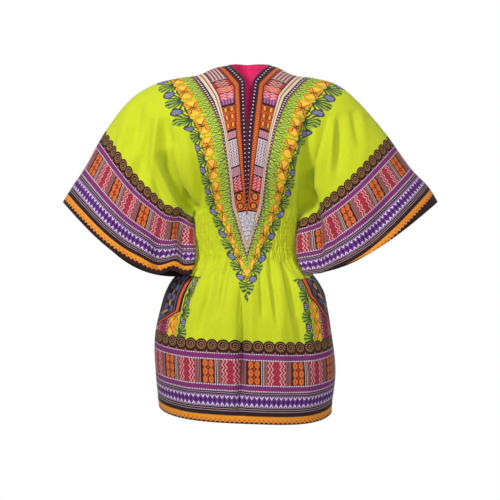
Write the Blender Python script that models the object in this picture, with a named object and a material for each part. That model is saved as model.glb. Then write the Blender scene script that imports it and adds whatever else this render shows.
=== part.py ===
"""A dashiki top with cut-on sleeves and a shirred waist, standing hollow as it is worn.

The cloth is cut in two large pieces, a front and a back, each from one sleeve hem across the
body to the other. They meet on top of the shoulders and arms, under the arms and at the sides.
Units are metres. +X is to the right as seen from the front, -Y is the front and +Z is up. The
origin lies between the two points where the neckline meets the shoulders.
"""

import bmesh
import bpy
import numpy as np

MM = 0.001

# Cloth and seams
WALL = 1.5 * MM
SEAM_GAP = 0.36 * MM
FACING_WALL = 1.0 * MM

# Heights of the body, from the shoulder point down
WAIST_TOP = -325 * MM
SHIRRING_TOP = -336 * MM
SHIRRING_BOTTOM = -424 * MM
SKIRT_TOP = -436 * MM

# Shirring: elastic draws the waist into narrow upright gathers
GATHERS_PER_QUARTER = 20
GATHER_DEPTH = 1.9 * MM
STEPS_PER_GATHER = 4

# The grid: columns from the centre line to the side and on to the sleeve hem, rows downward
BODY_COLUMNS = 16
SLEEVE_COLUMNS = 8
BODICE_ROWS = 14
WAIST_ROWS = 3
WAIST_COLUMNS = GATHERS_PER_QUARTER * STEPS_PER_GATHER
SKIRT_COLUMNS = 20
SKIRT_ROWS = 9
NECK_COLUMN = 4

# The neck slit below the neckline's lowest corner; its top leans to the viewer's right
SLIT_HALF_WIDTH = 9 * MM
SLIT_BOTTOM = -142 * MM
SLIT_LEAN = 5 * MM

# The facing behind the neck, a plain cloth shaped like the top of the back
FACING_COLUMNS = 8
FACING_ROWS = 7

# Where a column starts. place is 0 on the centre line, 1 at the armhole and 2 at the sleeve
# hem; x is given apart for the viewer's left and right, because the worn cloth hangs unevenly.
# columns: place, x left, x right, y, z
FRONT_NECKLINE = (
    (0.00, 4, 14, -54, -39),
    (0.12, 20, 31, -28, -16),
    (0.25, 42, 53, 8, 4),
)
BACK_NECKLINE = (
    (0.00, 0, 0, 62, 13),
    (0.12, 24, 30, 45, 12),
    (0.25, 42, 53, 8, 4),
)
OVERARM = (
    (0.250, 42, 53, 8, 4),
    (0.375, 74, 72, 7, -3),
    (0.500, 104, 99, 6, -17),
    (0.750, 156, 152, 3, -27),
    (1.000, 207, 200, 0, -41),
    (1.250, 262, 245, -3, -76),
    (1.500, 318, 308, -6, -148),
    (1.750, 369, 374, -8, -238),
    (1.875, 392, 407, -9, -272),
    (2.000, 412, 427, -10, -306),
)
# The seam under the arm, from the armpit to the sleeve's hem; columns as above
UNDERARM = (
    (1.000, 120, 120, 0, -325),
    (1.125, 124, 124, -7, -320),
    (1.250, 122, 122, -16, -338),
    (1.500, 119, 119, -33, -385),
    (1.750, 119, 121, -53, -428),
    (2.000, 121, 128, -72, -466),
)
# How far the cloth stands off the straight line between the seams above and below it, how
# round it leaves the upper seam, where it stands off most and how round it meets the lower one.
# columns: place, front depth, back depth, front rise, back rise, apex, fall
STAND_OFF = (
    (0.00, 43, 27, 1.00, 0.90, 0.54, 1.15),
    (0.12, 57, 37, 0.85, 0.70, 0.54, 1.15),
    (0.25, 70, 56, 0.72, 0.56, 0.55, 1.15),
    (0.50, 79, 62, 0.60, 0.55, 0.57, 1.15),
    (0.75, 79, 64, 0.55, 0.55, 0.54, 1.05),
    (1.00, 74, 66, 0.55, 0.55, 0.50, 0.90),
    (1.50, 70, 68, 0.55, 0.55, 0.48, 0.75),
    (2.00, 66, 62, 0.55, 0.55, 0.46, 0.70),
)
# How far a sleeve column sags outward and down from its straight line.
# columns: place, left, right
SLEEVE_SAG = (
    (0.00, 0, 0),
    (1.00, 0, 0),
    (1.50, 22, 12),
    (2.00, 55, 36),
)
SAG_LOW = 1.35
# The hem's height round the skirt, from the viewer's left side (-1) to the right side (1).
# columns: place, front, back
HEM = (
    (-1.0, -761, -761),
    (-0.5, -777, -768),
    (0.0, -783, -771),
    (0.5, -788, -774),
    (1.0, -774, -774),
)
# Rings round the waist and the skirt. columns: z, left, right, front, back
BODY_RINGS = (
    (-325, 120, 120, 90, 84),
    (-380, 119, 119, 87, 82),
    (-424, 120, 120, 90, 85),
    (-445, 130, 128, 97, 91),
    (-462, 148, 141, 104, 97),
    (-480, 168, 156, 112, 105),
    (-505, 186, 171, 121, 114),
    (-545, 196, 181, 129, 123),
    (-600, 206, 190, 134, 129),
    (-690, 205, 199, 137, 133),
    (-765, 197, 190, 138, 134),
)
# The largest folds, as soft troughs (negative) and ridges seen from the front or the back.
# columns: x and z of the upper end, x and z of the lower end, height, half width
FRONT_FOLDS = (
    (-176, -160, -140, -300, -13, 18),
    (-208, -88, -196, -232, -6, 20),
    (-152, -100, -128, -300, 8, 15),
    (174, -150, 148, -300, -13, 18),
    (222, -90, 214, -250, -6, 20),
    (146, -120, 132, -300, 8, 15),
    (-14, -505, -16, -700, -8, 13),
    (-70, -440, -104, -640, -6, 15),
    (-118, -450, -160, -600, -6, 15),
    (40, -445, 52, -660, -6, 15),
    (86, -440, 118, -650, -7, 15),
    (-45, -450, -62, -700, 6, 18),
    (66, -450, 86, -720, 6, 18),
    (-300, -330, -240, -440, -6, 22),
    (310, -330, 250, -430, -6, 22),
)
BACK_FOLDS = (
    (-172, -150, -142, -300, -12, 18),
    (170, -150, 144, -300, -12, 18),
    (-220, -95, -204, -250, -6, 20),
    (218, -92, 208, -255, -6, 20),
    (-30, -450, -38, -680, -7, 15),
    (-84, -445, -112, -650, -6, 15),
    (34, -445, 44, -690, -6, 15),
    (92, -445, 124, -640, -7, 15),
    (4, -450, 4, -720, 6, 18),
    (-60, -450, -78, -720, 6, 18),
)


def looked_up(table, at):
    """Every column of a table after the first, read smoothly at places along the first.

    Between two rows the value follows a cubic whose slope at a row is the mean slope there.
    """
    rows = np.array(table, float)
    place, values = rows[:, 0], rows[:, 1:]
    slope = np.gradient(values, place, axis=0)
    at = np.atleast_1d(np.asarray(at, float))
    i = np.clip(np.searchsorted(place, at, side="right") - 1, 0, len(place) - 2)
    step = (place[i + 1] - place[i])[:, None]
    t = (at[:, None] - place[i][:, None]) / step
    start = (1 + 2 * t) * (1 - t) ** 2 * values[i] + t * (1 - t) ** 2 * step * slope[i]
    end = t * t * (3 - 2 * t) * values[i + 1] + t * t * (t - 1) * step * slope[i + 1]
    return start + end


def sided(table, at, side):
    """x, y and z from a table that gives x left and x right, in metres; side is -1 or 1."""
    left, right, y, z = looked_up(table, at).T
    x = np.where(side < 0, -left, right)
    return np.stack([x, y, z], -1) * MM


def ring(z, angle, side, face):
    """Points round the waist or skirt. angle is 0 at the centre and a quarter turn at the side."""
    table = [(-row[0], *row[1:]) for row in BODY_RINGS]
    left, right, front, back = looked_up(table, np.clip(-z / MM, 325, 765)).T * MM
    half = left if side < 0 else right
    depth = front if face < 0 else back
    return np.stack([side * half * np.sin(angle), face * depth * np.cos(angle), z], -1)


def bodice_half(side, face):
    """The smooth bodice and half sleeve on one side: rows by columns by x, y, z."""
    columns = BODY_COLUMNS + SLEEVE_COLUMNS
    k = np.arange(columns + 1)
    place = np.where(k <= BODY_COLUMNS, k / BODY_COLUMNS, 1 + (k - BODY_COLUMNS) / SLEEVE_COLUMNS)
    neckline = FRONT_NECKLINE if face < 0 else BACK_NECKLINE
    top = sided(OVERARM, np.maximum(place, 0.25), side)
    top[: NECK_COLUMN + 1] = sided(neckline, place[: NECK_COLUMN + 1], side)
    quarter = np.pi / 2 * np.minimum(place, 1)
    bottom = ring(np.full(len(place), WAIST_TOP), quarter, side, face)
    under = place > 1
    bottom[under] = sided(UNDERARM, place[under], side)
    s = np.arange(BODICE_ROWS + 1) / BODICE_ROWS
    u = (0.5 * s**1.2 + 0.5 * (1 - np.cos(np.pi * s)) / 2)[:, None]
    points = top + (bottom - top) * u[..., None]
    front, back, front_rise, back_rise, apex, fall = looked_up(STAND_OFF, place).T
    depth = (front if face < 0 else back) * MM
    rise = front_rise if face < 0 else back_rise
    before = np.sin(np.pi / 2 * np.minimum(u / apex, 1)) ** rise
    after = np.cos(np.pi / 2 * np.clip((u - apex) / (1 - apex), 0, 1)) ** fall
    points[..., 1] += face * depth * before * after
    sag = looked_up(SLEEVE_SAG, place)[:, 0 if side < 0 else 1] * MM
    chord = (bottom - top)[:, [0, 2]]
    chord /= np.linalg.norm(chord, axis=1)[:, None]
    hang = sag * np.sin(np.pi * u**SAG_LOW).clip(0) ** 0.8
    points[..., 0] += side * hang * np.abs(chord[:, 1])
    points[..., 2] -= hang * np.abs(chord[:, 0])
    if face < 0:
        share = np.clip((points[:, 0, 2] - SLIT_BOTTOM) / (top[0, 2] - SLIT_BOTTOM), 0, 1)
        points[:, 0, 0] = side * SLIT_HALF_WIDTH * share**0.45 + SLIT_LEAN * share
    return points


def ring_rows(shares, columns, side, face):
    """Rows round one side of the skirt, from its top (share 0) to the uneven hem (share 1)."""
    turn = np.arange(columns + 1) / columns
    hem = looked_up(HEM, side * turn)[:, 0 if face < 0 else 1] * MM
    rows = [ring(SKIRT_TOP + (hem - SKIRT_TOP) * s, np.pi / 2 * turn, side, face) for s in shares]
    return np.array(rows)


def shirred_rows(heights, columns, side, face):
    """Level rows round one side of the waist."""
    angle = np.pi / 2 * np.arange(columns + 1) / columns
    return np.array([ring(np.full(columns + 1, z), angle, side, face) for z in heights])


def outward(points, side, face):
    """Unit normals of a smooth grid; those on the centre line lean to neither side."""
    down = np.gradient(points, axis=0)
    across = np.gradient(points, axis=1)
    normal = np.cross(down, across)
    normal *= -side * face
    normal[:, 0, 0] = 0
    normal /= np.linalg.norm(normal, axis=-1)[..., None]
    return normal


def level(normals):
    """Normals turned level, so that the rims of two stretches of cloth face each other."""
    flat = normals * (1, 1, 0)
    return flat / np.linalg.norm(flat, axis=-1)[..., None]


def overarm_normals(seam, side):
    """Normals along the seam on top of the shoulder and arm, square to it in the upright plane."""
    run = np.gradient(seam, axis=0)
    up = np.stack([-side * run[:, 2], np.zeros(len(run)), side * run[:, 0]], -1)
    return up / np.linalg.norm(up, axis=1)[:, None]


def underarm_normals(seam, side):
    """Normals along the seam under the arm: down at the armpit, then towards the body."""
    run = np.gradient(seam, axis=0)
    run /= np.linalg.norm(run, axis=1)[:, None]
    inward = np.tile((-side, 0.0, -0.15), (len(seam), 1))
    inward -= run * (inward * run).sum(1)[:, None]
    inward[:3] = ((0.3 * side, 0, -0.95), (-0.4 * side, 0, -0.9), (-0.8 * side, 0, -0.5))
    return inward / np.linalg.norm(inward, axis=1)[:, None]


def fold_height(points, folds):
    """Height of all folds at each point: a bell across each fold's line, faded at its ends."""
    height = np.zeros(points.shape[:-1])
    x, z = points[..., 0] / MM, points[..., 2] / MM
    for x0, z0, x1, z1, rise, width in folds:
        along = np.hypot(x1 - x0, z1 - z0)
        dx, dz = (x1 - x0) / along, (z1 - z0) / along
        t = ((x - x0) * dx + (z - z0) * dz) / along
        off = (x - x0) * dz - (z - z0) * dx
        end = np.clip((np.clip(t, 0, 1) - t) * along / width, -3, 3)
        ease = np.sin(np.pi * np.clip(t, 0, 1)) ** 0.6
        height += rise * ease * np.exp(-((off / width) ** 2) - end**2)
    return height * MM


def gathered(columns, rows):
    """Height of the shirring's gathers: flat-topped waves, a little uneven round the body."""
    step = np.arange(columns + 1)
    wave = np.sqrt(2) * np.cos(2 * np.pi * (step + 0.5) / STEPS_PER_GATHER)
    wave[[0, -1]] = 1.0
    uneven = 0.85 + 0.15 * np.sin(1.7 * step) * np.sin(0.31 * step + 0.6)
    return np.tile(GATHER_DEPTH * wave * uneven, (rows, 1))


def bodice_grids(side, face):
    """One side of the bodice and its half sleeve: smooth points, normals and height of folds."""
    points = bodice_half(side, face)
    normal = outward(points, side, face)
    normal[0, NECK_COLUMN:] = overarm_normals(points[0, NECK_COLUMN:], side)
    normal[-1, :BODY_COLUMNS] = level(normal[-1, :BODY_COLUMNS])
    normal[-1, BODY_COLUMNS:] = underarm_normals(points[-1, BODY_COLUMNS:], side)
    lift = fold_height(points, FRONT_FOLDS if face < 0 else BACK_FOLDS)
    lift[0] = 0
    lift[-1] = 0
    return [(points, normal, lift)]


def waist_grids(side, face):
    """One side of the shirred waist: a plain row, the gathered rows and another plain row."""
    grids = []
    heights = np.linspace(SHIRRING_TOP, SHIRRING_BOTTOM, WAIST_ROWS + 1)
    for rows, columns in (
        ([WAIST_TOP - SEAM_GAP, WAIST_TOP - 2 * SEAM_GAP], BODY_COLUMNS),
        (heights, WAIST_COLUMNS),
        ([SKIRT_TOP + 2 * SEAM_GAP, SKIRT_TOP + SEAM_GAP], SKIRT_COLUMNS),
    ):
        points = shirred_rows(rows, columns, side, face)
        normal = level(outward(points, side, face))
        normal[:, -1] = (side, 0, 0)
        lift = np.zeros(points.shape[:2])
        if columns == WAIST_COLUMNS:
            lift = gathered(columns, len(rows))
        grids.append((points, normal, lift))
    return grids


def skirt_grids(side, face):
    """One side of the skirt, from the waist's lower row to the hem."""
    points = ring_rows(np.linspace(0, 1, SKIRT_ROWS + 1), SKIRT_COLUMNS, side, face)
    normal = outward(points, side, face)
    normal[0] = level(normal[0])
    normal[:, -1] = (side, 0, 0)
    lift = fold_height(points, FRONT_FOLDS if face < 0 else BACK_FOLDS)
    lift[0] = 0
    lift[:, -1] = 0
    return [(points, normal, lift)]


def wound(triangles, flip):
    """Triangles as lists of point numbers, wound the other way round if flip is true."""
    return [[int(i) for i in (t[::-1] if flip else t)] for t in triangles]


def grid_faces(number, flip):
    """Two triangles for each cell of a numbered grid, cut on the same diagonal throughout."""
    a, b = number[:-1, :-1], number[:-1, 1:]
    c, d = number[1:, 1:], number[1:, :-1]
    triangles = np.stack([a, b, c, a, c, d], -1).reshape(-1, 3)
    return wound(triangles, flip)


def joining_faces(upper, lower, flip):
    """Triangles between two rows with different numbers of points, matched by their share."""
    triangles = []
    i, j = 0, 0
    last_up, last_low = len(upper) - 1, len(lower) - 1
    while i < last_up or j < last_low:
        step_up = (i + 0.5) / last_up if i < last_up else 2
        step_low = (j + 0.5) / last_low if j < last_low else 2
        if step_up <= step_low:
            triangles.append((upper[i], upper[i + 1], lower[j]))
            i += 1
        else:
            triangles.append((upper[i], lower[j + 1], lower[j]))
            j += 1
    return wound(triangles, flip)


def stretch_of_cloth(grids, face, depth=0.0, wall=WALL, part=np.s_[:, :]):
    """Outer points, inner points and outer faces of both sides of one stretch of a panel.

    depth sets the outer skin that far inside the panel's own outer skin.
    """
    outer, inner, faces = [], [], []
    for side in (-1, 1):
        flip = side * face < 0
        above = None
        for points, normal, lift in grids(side, face):
            skin = (points + normal * (lift[..., None] - depth))[part]
            skin[..., 1] += face * SEAM_GAP / 2
            number = len(outer) + np.arange(skin.shape[0] * skin.shape[1])
            number = number.reshape(skin.shape[:2])
            outer.extend(skin.reshape(-1, 3))
            inner.extend((skin - normal[part] * wall).reshape(-1, 3))
            faces += grid_faces(number, flip)
            if above is not None:
                faces += joining_faces(above, number[0], flip)
            above = number[-1]
    return np.array(outer), np.array(inner), faces


def cloth(name, outer, inner, faces, colour):
    """A closed wall: the outer skin, the inner skin and a rim along every free edge."""
    skin = bmesh.new()
    for point in outer:
        skin.verts.new(point)
    skin.verts.ensure_lookup_table()
    inside = skin.verts.layers.float_vector.new("inside")
    for vert, point in zip(skin.verts, inner):
        vert[inside] = point
    for face in faces:
        skin.faces.new([skin.verts[i] for i in face])
    bmesh.ops.remove_doubles(skin, verts=skin.verts, dist=0.01 * MM)
    skin.verts.index_update()
    points = [tuple(v.co) for v in skin.verts] + [tuple(v[inside]) for v in skin.verts]
    count = len(skin.verts)
    walls = [[v.index for v in face.verts] for face in skin.faces]
    walls += [[v.index + count for v in reversed(face.verts)] for face in skin.faces]
    for face in skin.faces:
        for loop in face.loops:
            if loop.edge.is_boundary:
                a, b = loop.vert, loop.link_loop_next.vert
                near = a.co.xz.length < b.co.xz.length
                a, b = a.index, b.index
                walls.append([b, a, a + count] if near else [b, a, b + count])
                walls.append([b, a + count, b + count] if near else [a, a + count, b + count])
    skin.free()
    mesh = bpy.data.meshes.new(name)
    mesh.from_pydata(points, [], walls)
    mesh.shade_smooth()
    mesh.set_sharp_from_angle(angle=np.radians(50))
    mesh.materials.append(dyed(name, colour))
    made = bpy.data.objects.new(name, mesh)
    garment.objects.link(made)
    return made


def dyed(name, colour):
    """A matt cotton in one colour."""
    material = bpy.data.materials.new(name)
    material.use_nodes = True
    shader = material.node_tree.nodes["Principled BSDF"]
    shader.inputs["Base Color"].default_value = (*colour, 1)
    shader.inputs["Roughness"].default_value = 0.8
    shader.inputs["Metallic"].default_value = 0.0
    return material


for old in list(bpy.data.objects):
    bpy.data.objects.remove(old)
garment = bpy.data.collections.new("dashiki top")
bpy.context.scene.collection.children.link(garment)

LIME = (0.60, 0.68, 0.02)
MAGENTA = (0.75, 0.02, 0.12)

for piece, face in (("front", -1), ("back", 1)):
    cloth(f"{piece}_bodice", *stretch_of_cloth(bodice_grids, face), LIME)
    cloth(f"{piece}_waist", *stretch_of_cloth(waist_grids, face), LIME)
    cloth(f"{piece}_skirt", *stretch_of_cloth(skirt_grids, face), LIME)

top_of_back = np.s_[: FACING_ROWS + 1, : FACING_COLUMNS + 1]
facing = stretch_of_cloth(bodice_grids, 1, WALL + SEAM_GAP, FACING_WALL, top_of_back)
cloth("back_neck_facing", *facing, MAGENTA)
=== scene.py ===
# %% [markdown]
# # A dashiki top, worn and hollow
# The real garment is two large pieces of printed cotton, a front and a back, each running from
# sleeve hem to sleeve hem. They are sewn on top of the arms, under the arms and at the sides.
# A plain magenta facing finishes the back of the neck, and rows of elastic thread gather the
# waist. Lengths in the tables are millimetres. +X is right as seen from the front, -Y is the
# front and +Z is up.

import bmesh
import bpy
import numpy as np
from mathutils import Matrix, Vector


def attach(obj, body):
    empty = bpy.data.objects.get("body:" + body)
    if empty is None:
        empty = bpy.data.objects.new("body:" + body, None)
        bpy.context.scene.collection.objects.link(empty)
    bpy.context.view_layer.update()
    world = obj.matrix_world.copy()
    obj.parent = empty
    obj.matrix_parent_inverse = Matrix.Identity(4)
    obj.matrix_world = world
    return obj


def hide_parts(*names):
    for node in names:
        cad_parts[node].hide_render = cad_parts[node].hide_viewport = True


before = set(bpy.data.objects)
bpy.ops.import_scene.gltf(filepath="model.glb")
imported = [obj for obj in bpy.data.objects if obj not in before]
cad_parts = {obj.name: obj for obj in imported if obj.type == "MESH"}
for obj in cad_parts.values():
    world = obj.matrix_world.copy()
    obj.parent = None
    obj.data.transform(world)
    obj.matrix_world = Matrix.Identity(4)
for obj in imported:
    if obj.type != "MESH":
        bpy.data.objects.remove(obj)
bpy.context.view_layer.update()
MM = 0.001
print("nodes:", sorted(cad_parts))

# %% [markdown]
# ## Camera, floor and light
# The photograph looks straight at the front with a fairly long lens, from the height of the
# middle of the garment. The camera stands 2.4 m away, and the lens is chosen so that one pixel
# of the 500 is 2.25 mm on the garment's outline. A pale floor below the picture and large soft
# lights give the even light of a catalogue picture.

# %% The camera
CAMERA_PLACE = (6.75 * MM, -2.4, -414 * MM)
LENS = 76.8

camera = bpy.data.objects.new("camera", bpy.data.cameras.new("camera"))
camera.location = CAMERA_PLACE
camera.rotation_euler = (np.pi / 2, 0, 0)
camera.data.lens = LENS
camera.data.sensor_width = 36
bpy.context.scene.collection.objects.link(camera)
bpy.context.scene.camera = camera
print("camera at", CAMERA_PLACE)

# %% The lights
LAMPS = (
    ("key", (-1.5, -1.8, 0.9), 0.45, 40),
    ("near_lens", (0.1, -2.6, -0.1), 0.2, 15),
    ("fill", (1.6, -1.9, 0.2), 1.2, 13),
    ("top", (0.1, -0.7, 1.3), 0.8, 4),
    ("rim", (0.6, 2.0, 0.6), 1.6, 26),
)
for name, place, size, power in LAMPS:
    lamp = bpy.data.objects.new(name, bpy.data.lights.new(name, "AREA"))
    lamp.data.size = size
    lamp.data.energy = power
    lamp.location = place
    aim = Vector((0, 0, -0.4)) - lamp.location
    lamp.rotation_euler = aim.to_track_quat("-Z", "Y").to_euler()
    bpy.context.scene.collection.objects.link(lamp)
print("lamps:", len(LAMPS))

# %% The white room
AMBIENT = 0.16

world = bpy.data.worlds.new("studio")
world.use_nodes = True
room = world.node_tree
sky = room.nodes["Background"]
sky.inputs["Color"].default_value = (1, 1, 1, 1)
seen = room.nodes.new("ShaderNodeLightPath")
level = room.nodes.new("ShaderNodeMapRange")
level.inputs["To Min"].default_value = AMBIENT
room.links.new(seen.outputs["Is Camera Ray"], level.inputs["Value"])
room.links.new(level.outputs["Result"], sky.inputs["Strength"])
bpy.context.scene.world = world
bpy.context.scene.view_settings.view_transform = "Standard"
print("light from all round:", AMBIENT)

# %% The floor
FLOOR_HEIGHT, FLOOR_RADIUS, FLOOR_CORNERS = -1.4, 0.9, 96

turn = np.linspace(0, 2 * np.pi, FLOOR_CORNERS, endpoint=False)
rim = np.stack([np.cos(turn), np.sin(turn), 0 * turn], -1) * FLOOR_RADIUS + (0, 0, FLOOR_HEIGHT)
floor_mesh = bpy.data.meshes.new("floor")
floor_mesh.from_pydata(rim.tolist(), [], [list(range(FLOOR_CORNERS))])
floor = bpy.data.objects.new("floor", floor_mesh)
paper = bpy.data.materials.new("matt_white_paper")
paper.use_nodes = True
matt = paper.node_tree.nodes["Principled BSDF"]
matt.inputs["Base Color"].default_value = (0.8, 0.8, 0.8, 1)
matt.inputs["Roughness"].default_value = 0.9
floor_mesh.materials.append(paper)
bpy.context.scene.collection.objects.link(floor)
print("floor at", FLOOR_HEIGHT)

# %% [markdown]
# ## The shape of the cloth
# Each point of a panel has a place across, which is 0 on the centre line, 1 at the armhole and 2
# at the sleeve hem, and a row down. A few tables say where the seams run, how far the cloth
# stands off the straight line between them, and how wide the waist and the skirt are. Every
# value in between is read from a smooth curve. Nearly the same tables shape the CAD part, so the
# cloth lies close to its walls. A sleeve's hem sags, and at the front it sags less, so the dark
# inside of the back's hem shows below it.

# %% Tables of the seams
NECK_END = 0.25
# columns: place, x left, x right, y, z
FRONT_NECKLINE = ((0, 4, 14, -54, -39), (0.12, 20, 31, -28, -16), (0.25, 42, 53, 8, 4))
BACK_NECKLINE = ((0, 0, 0, 62, 13), (0.12, 24, 30, 45, 12), (0.25, 42, 53, 8, 4))
OVERARM = (
    (0.250, 42, 53, 8, 4),
    (0.375, 74, 72, 7, -3),
    (0.500, 104, 99, 6, -17),
    (0.750, 156, 152, 3, -27),
    (1.000, 207, 200, 0, -41),
    (1.250, 262, 245, -3, -76),
    (1.500, 318, 308, -6, -148),
    (1.750, 369, 374, -8, -238),
    (1.875, 392, 407, -9, -272),
    (2.000, 412, 427, -10, -306),
)
UNDERARM = (
    (1.000, 120, 120, 0, -325),
    (1.125, 119.5, 119.5, -9, -331),
    (1.250, 117, 114, -19, -345),
    (1.500, 114, 108, -36, -385),
    (1.750, 111, 108, -57, -428),
    (2.000, 119, 122, -75, -466),
)
print("seam points:", len(OVERARM), "on top of the arm,", len(UNDERARM), "under it")

# %% Tables of the depth, the sag and the rings
# columns: place, front depth, back depth, front rise, back rise, apex, fall
STAND_OFF = (
    (0.00, 43, 27, 1.00, 0.90, 0.54, 1.15),
    (0.12, 57, 37, 0.85, 0.70, 0.54, 1.15),
    (0.25, 70, 56, 0.72, 0.56, 0.55, 1.15),
    (0.50, 79, 62, 0.60, 0.55, 0.57, 1.15),
    (0.75, 79, 64, 0.55, 0.55, 0.54, 1.05),
    (1.00, 74, 66, 0.55, 0.55, 0.50, 0.90),
    (1.50, 70, 68, 0.55, 0.55, 0.48, 0.75),
    (2.00, 66, 62, 0.55, 0.55, 0.46, 0.70),
)
# columns: place, front left, front right, back left, back right
SLEEVE_SAG = ((0, 0, 0, 0, 0), (1, 0, 0, 0, 0), (1.5, 20, 10, 22, 12), (2, 41, 26, 53, 34))
SAG_LOW = 1.35
# where the left sleeve's hem puckers at the front: share of the way down, half width, rise
PUCKERS = ((0.75, 0.07, -5), (0.89, 0.045, 9))
# columns: place from the viewer's left side to the right side, front z, back z
HEM = (
    (-1.0, -761, -761),
    (-0.5, -777, -768),
    (0.0, -783, -771),
    (0.5, -788, -774),
    (1.0, -774, -774),
)
# columns: z, left, right, front, back
BODY_RINGS = (
    (-325, 120, 120, 90, 84),
    (-380, 119, 112, 87, 82),
    (-424, 120, 114, 90, 85),
    (-445, 130, 125, 97, 91),
    (-462, 148, 141, 104, 97),
    (-480, 166, 156, 112, 105),
    (-505, 181, 171, 121, 114),
    (-545, 194, 181, 129, 123),
    (-600, 206, 190, 134, 129),
    (-690, 205, 199, 137, 133),
    (-765, 197, 190, 138, 134),
)
WAIST_TOP, WAIST_BOTTOM = -325, -436
SHIRRING = (-336, -424)
SLIT_HALF_WIDTH, SLIT_BOTTOM, SLIT_LEAN = 9, -142, 5
print("body rings:", len(BODY_RINGS))

# %% Reading a table
def looked_up(table, at):
    """Every column of a table after the first, read smoothly at places along the first.

    Between two rows the value follows a cubic whose slope at a row is the mean slope there.
    """
    rows = np.array(table, float)
    place, values = rows[:, 0], rows[:, 1:]
    slope = np.gradient(values, place, axis=0)
    at = np.asarray(at, float)[..., None]
    i = np.clip(np.searchsorted(place, at[..., 0], side="right") - 1, 0, len(place) - 2)
    step = (place[i + 1] - place[i])[..., None]
    t = (at - place[i][..., None]) / step
    start = (1 + 2 * t) * (1 - t) ** 2 * values[i] + t * (1 - t) ** 2 * step * slope[i]
    end = t * t * (3 - 2 * t) * values[i + 1] + t * t * (t - 1) * step * slope[i + 1]
    return start + end


def sided(table, at, side):
    """x, y and z from a table with x left and x right; side is -1 on the viewer's left."""
    left, right, y, z = np.moveaxis(looked_up(table, at), -1, 0)
    return np.stack([-left if side < 0 else right, y, z], -1)


# %% The grid of one half
BODY_COLUMNS = 120
SLEEVE_COLUMNS = 60
BODICE_ROWS = 64
WAIST_ROWS = 37
SKIRT_ROWS = 54
BODY_PLACES = np.arange(BODY_COLUMNS + 1) / BODY_COLUMNS
PLACES = np.append(BODY_PLACES, 1 + np.arange(1, SLEEVE_COLUMNS + 1) / SLEEVE_COLUMNS)


def ring(z, place, side, face):
    """A ring round the body: x is half the width times the sine of the angle from the centre
    line, y is the depth times its cosine."""
    table = [(-row[0], *row[1:]) for row in BODY_RINGS]
    down = np.clip(-z, table[0][0], table[-1][0])
    left, right, front, back = np.moveaxis(looked_up(table, down), -1, 0)
    angle = np.pi / 2 * place
    x = side * (left if side < 0 else right) * np.sin(angle)
    return np.stack([x, face * (front if face < 0 else back) * np.cos(angle), z], -1)


def bodice(side, face):
    """Half a bodice with its sleeve. Each column runs straight from the upper seam to the lower
    one, with rows that are closer at its ends. It stands off that line in y by a quarter sine wave
    up to the apex and a quarter cosine wave after it. A sleeve's columns sag outward and down by
    one arch, and puckers, each a bell down the column, lift the left hem at the front."""
    top = sided(OVERARM, np.maximum(PLACES, NECK_END), side)
    neck = PLACES <= NECK_END
    top[neck] = sided(FRONT_NECKLINE if face < 0 else BACK_NECKLINE, PLACES[neck], side)
    bottom = ring(np.full(len(PLACES), float(WAIST_TOP)), np.minimum(PLACES, 1), side, face)
    sleeve = PLACES > 1
    bottom[sleeve] = sided(UNDERARM, PLACES[sleeve], side)
    s = np.arange(BODICE_ROWS + 1) / BODICE_ROWS
    u = (0.5 * s**1.2 + 0.25 * (1 - np.cos(np.pi * s)))[:, None]
    points = top + (bottom - top) * u[..., None]
    front, back, front_rise, back_rise, apex, fall = looked_up(STAND_OFF, PLACES).T
    before = np.sin(np.pi / 2 * np.minimum(u / apex, 1)) ** (front_rise if face < 0 else back_rise)
    after = np.cos(np.pi / 2 * np.clip((u - apex) / (1 - apex), 0, 1)) ** fall
    points[..., 1] += face * (front if face < 0 else back) * before * after
    chord = (bottom - top)[:, [0, 2]]
    chord /= np.linalg.norm(chord, axis=1)[:, None]
    hang = looked_up(SLEEVE_SAG, PLACES)[:, int(side > 0) + 2 * int(face > 0)]
    hang = hang * np.sin(np.pi * u**SAG_LOW).clip(0) ** 0.8
    points[..., 0] += side * hang * np.abs(chord[:, 1])
    points[..., 2] -= hang * np.abs(chord[:, 0])
    if side < 0 and face < 0:
        near_hem = np.clip(PLACES * 2 - 3, 0, 1)
        for down, width, rise in PUCKERS:
            points[..., 2] += rise * near_hem * np.exp(-(((u - down) / width) ** 2))
    if face < 0:
        share = np.clip((points[:, 0, 2] - SLIT_BOTTOM) / (top[0, 2] - SLIT_BOTTOM), 0, 1)
        points[:, 0, 0] = side * SLIT_HALF_WIDTH * share**0.45 + SLIT_LEAN * share
    return points


def lower_body(side, face):
    """Half the waist and skirt: level rows down to the waist's end, then rows that spread by
    equal shares of the way to the uneven hem."""
    hem = looked_up(HEM, side * BODY_PLACES)[:, 0 if face < 0 else 1]
    waist = np.linspace(WAIST_TOP, WAIST_BOTTOM, WAIST_ROWS + 1)[1:, None]
    share = (np.arange(1, SKIRT_ROWS + 1) / SKIRT_ROWS)[:, None]
    rows = [waist + 0 * hem, WAIST_BOTTOM + (hem - WAIST_BOTTOM) * share]
    z = np.vstack(rows)
    return ring(z, np.broadcast_to(BODY_PLACES, z.shape), side, face)


print("rows:", BODICE_ROWS + WAIST_ROWS + SKIRT_ROWS, "columns:", len(PLACES))

# %% [markdown]
# ## Folds and gathers
# A fold is a soft trough or ridge along a line, with a bell-shaped section that fades at both
# ends. The deep ones hang from the shoulders to the armpits and run down the skirt from the
# gathered waist. The shirring is many narrow waves; above and below it they join into fewer and
# wider ones that die out in the plain cloth.

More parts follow.
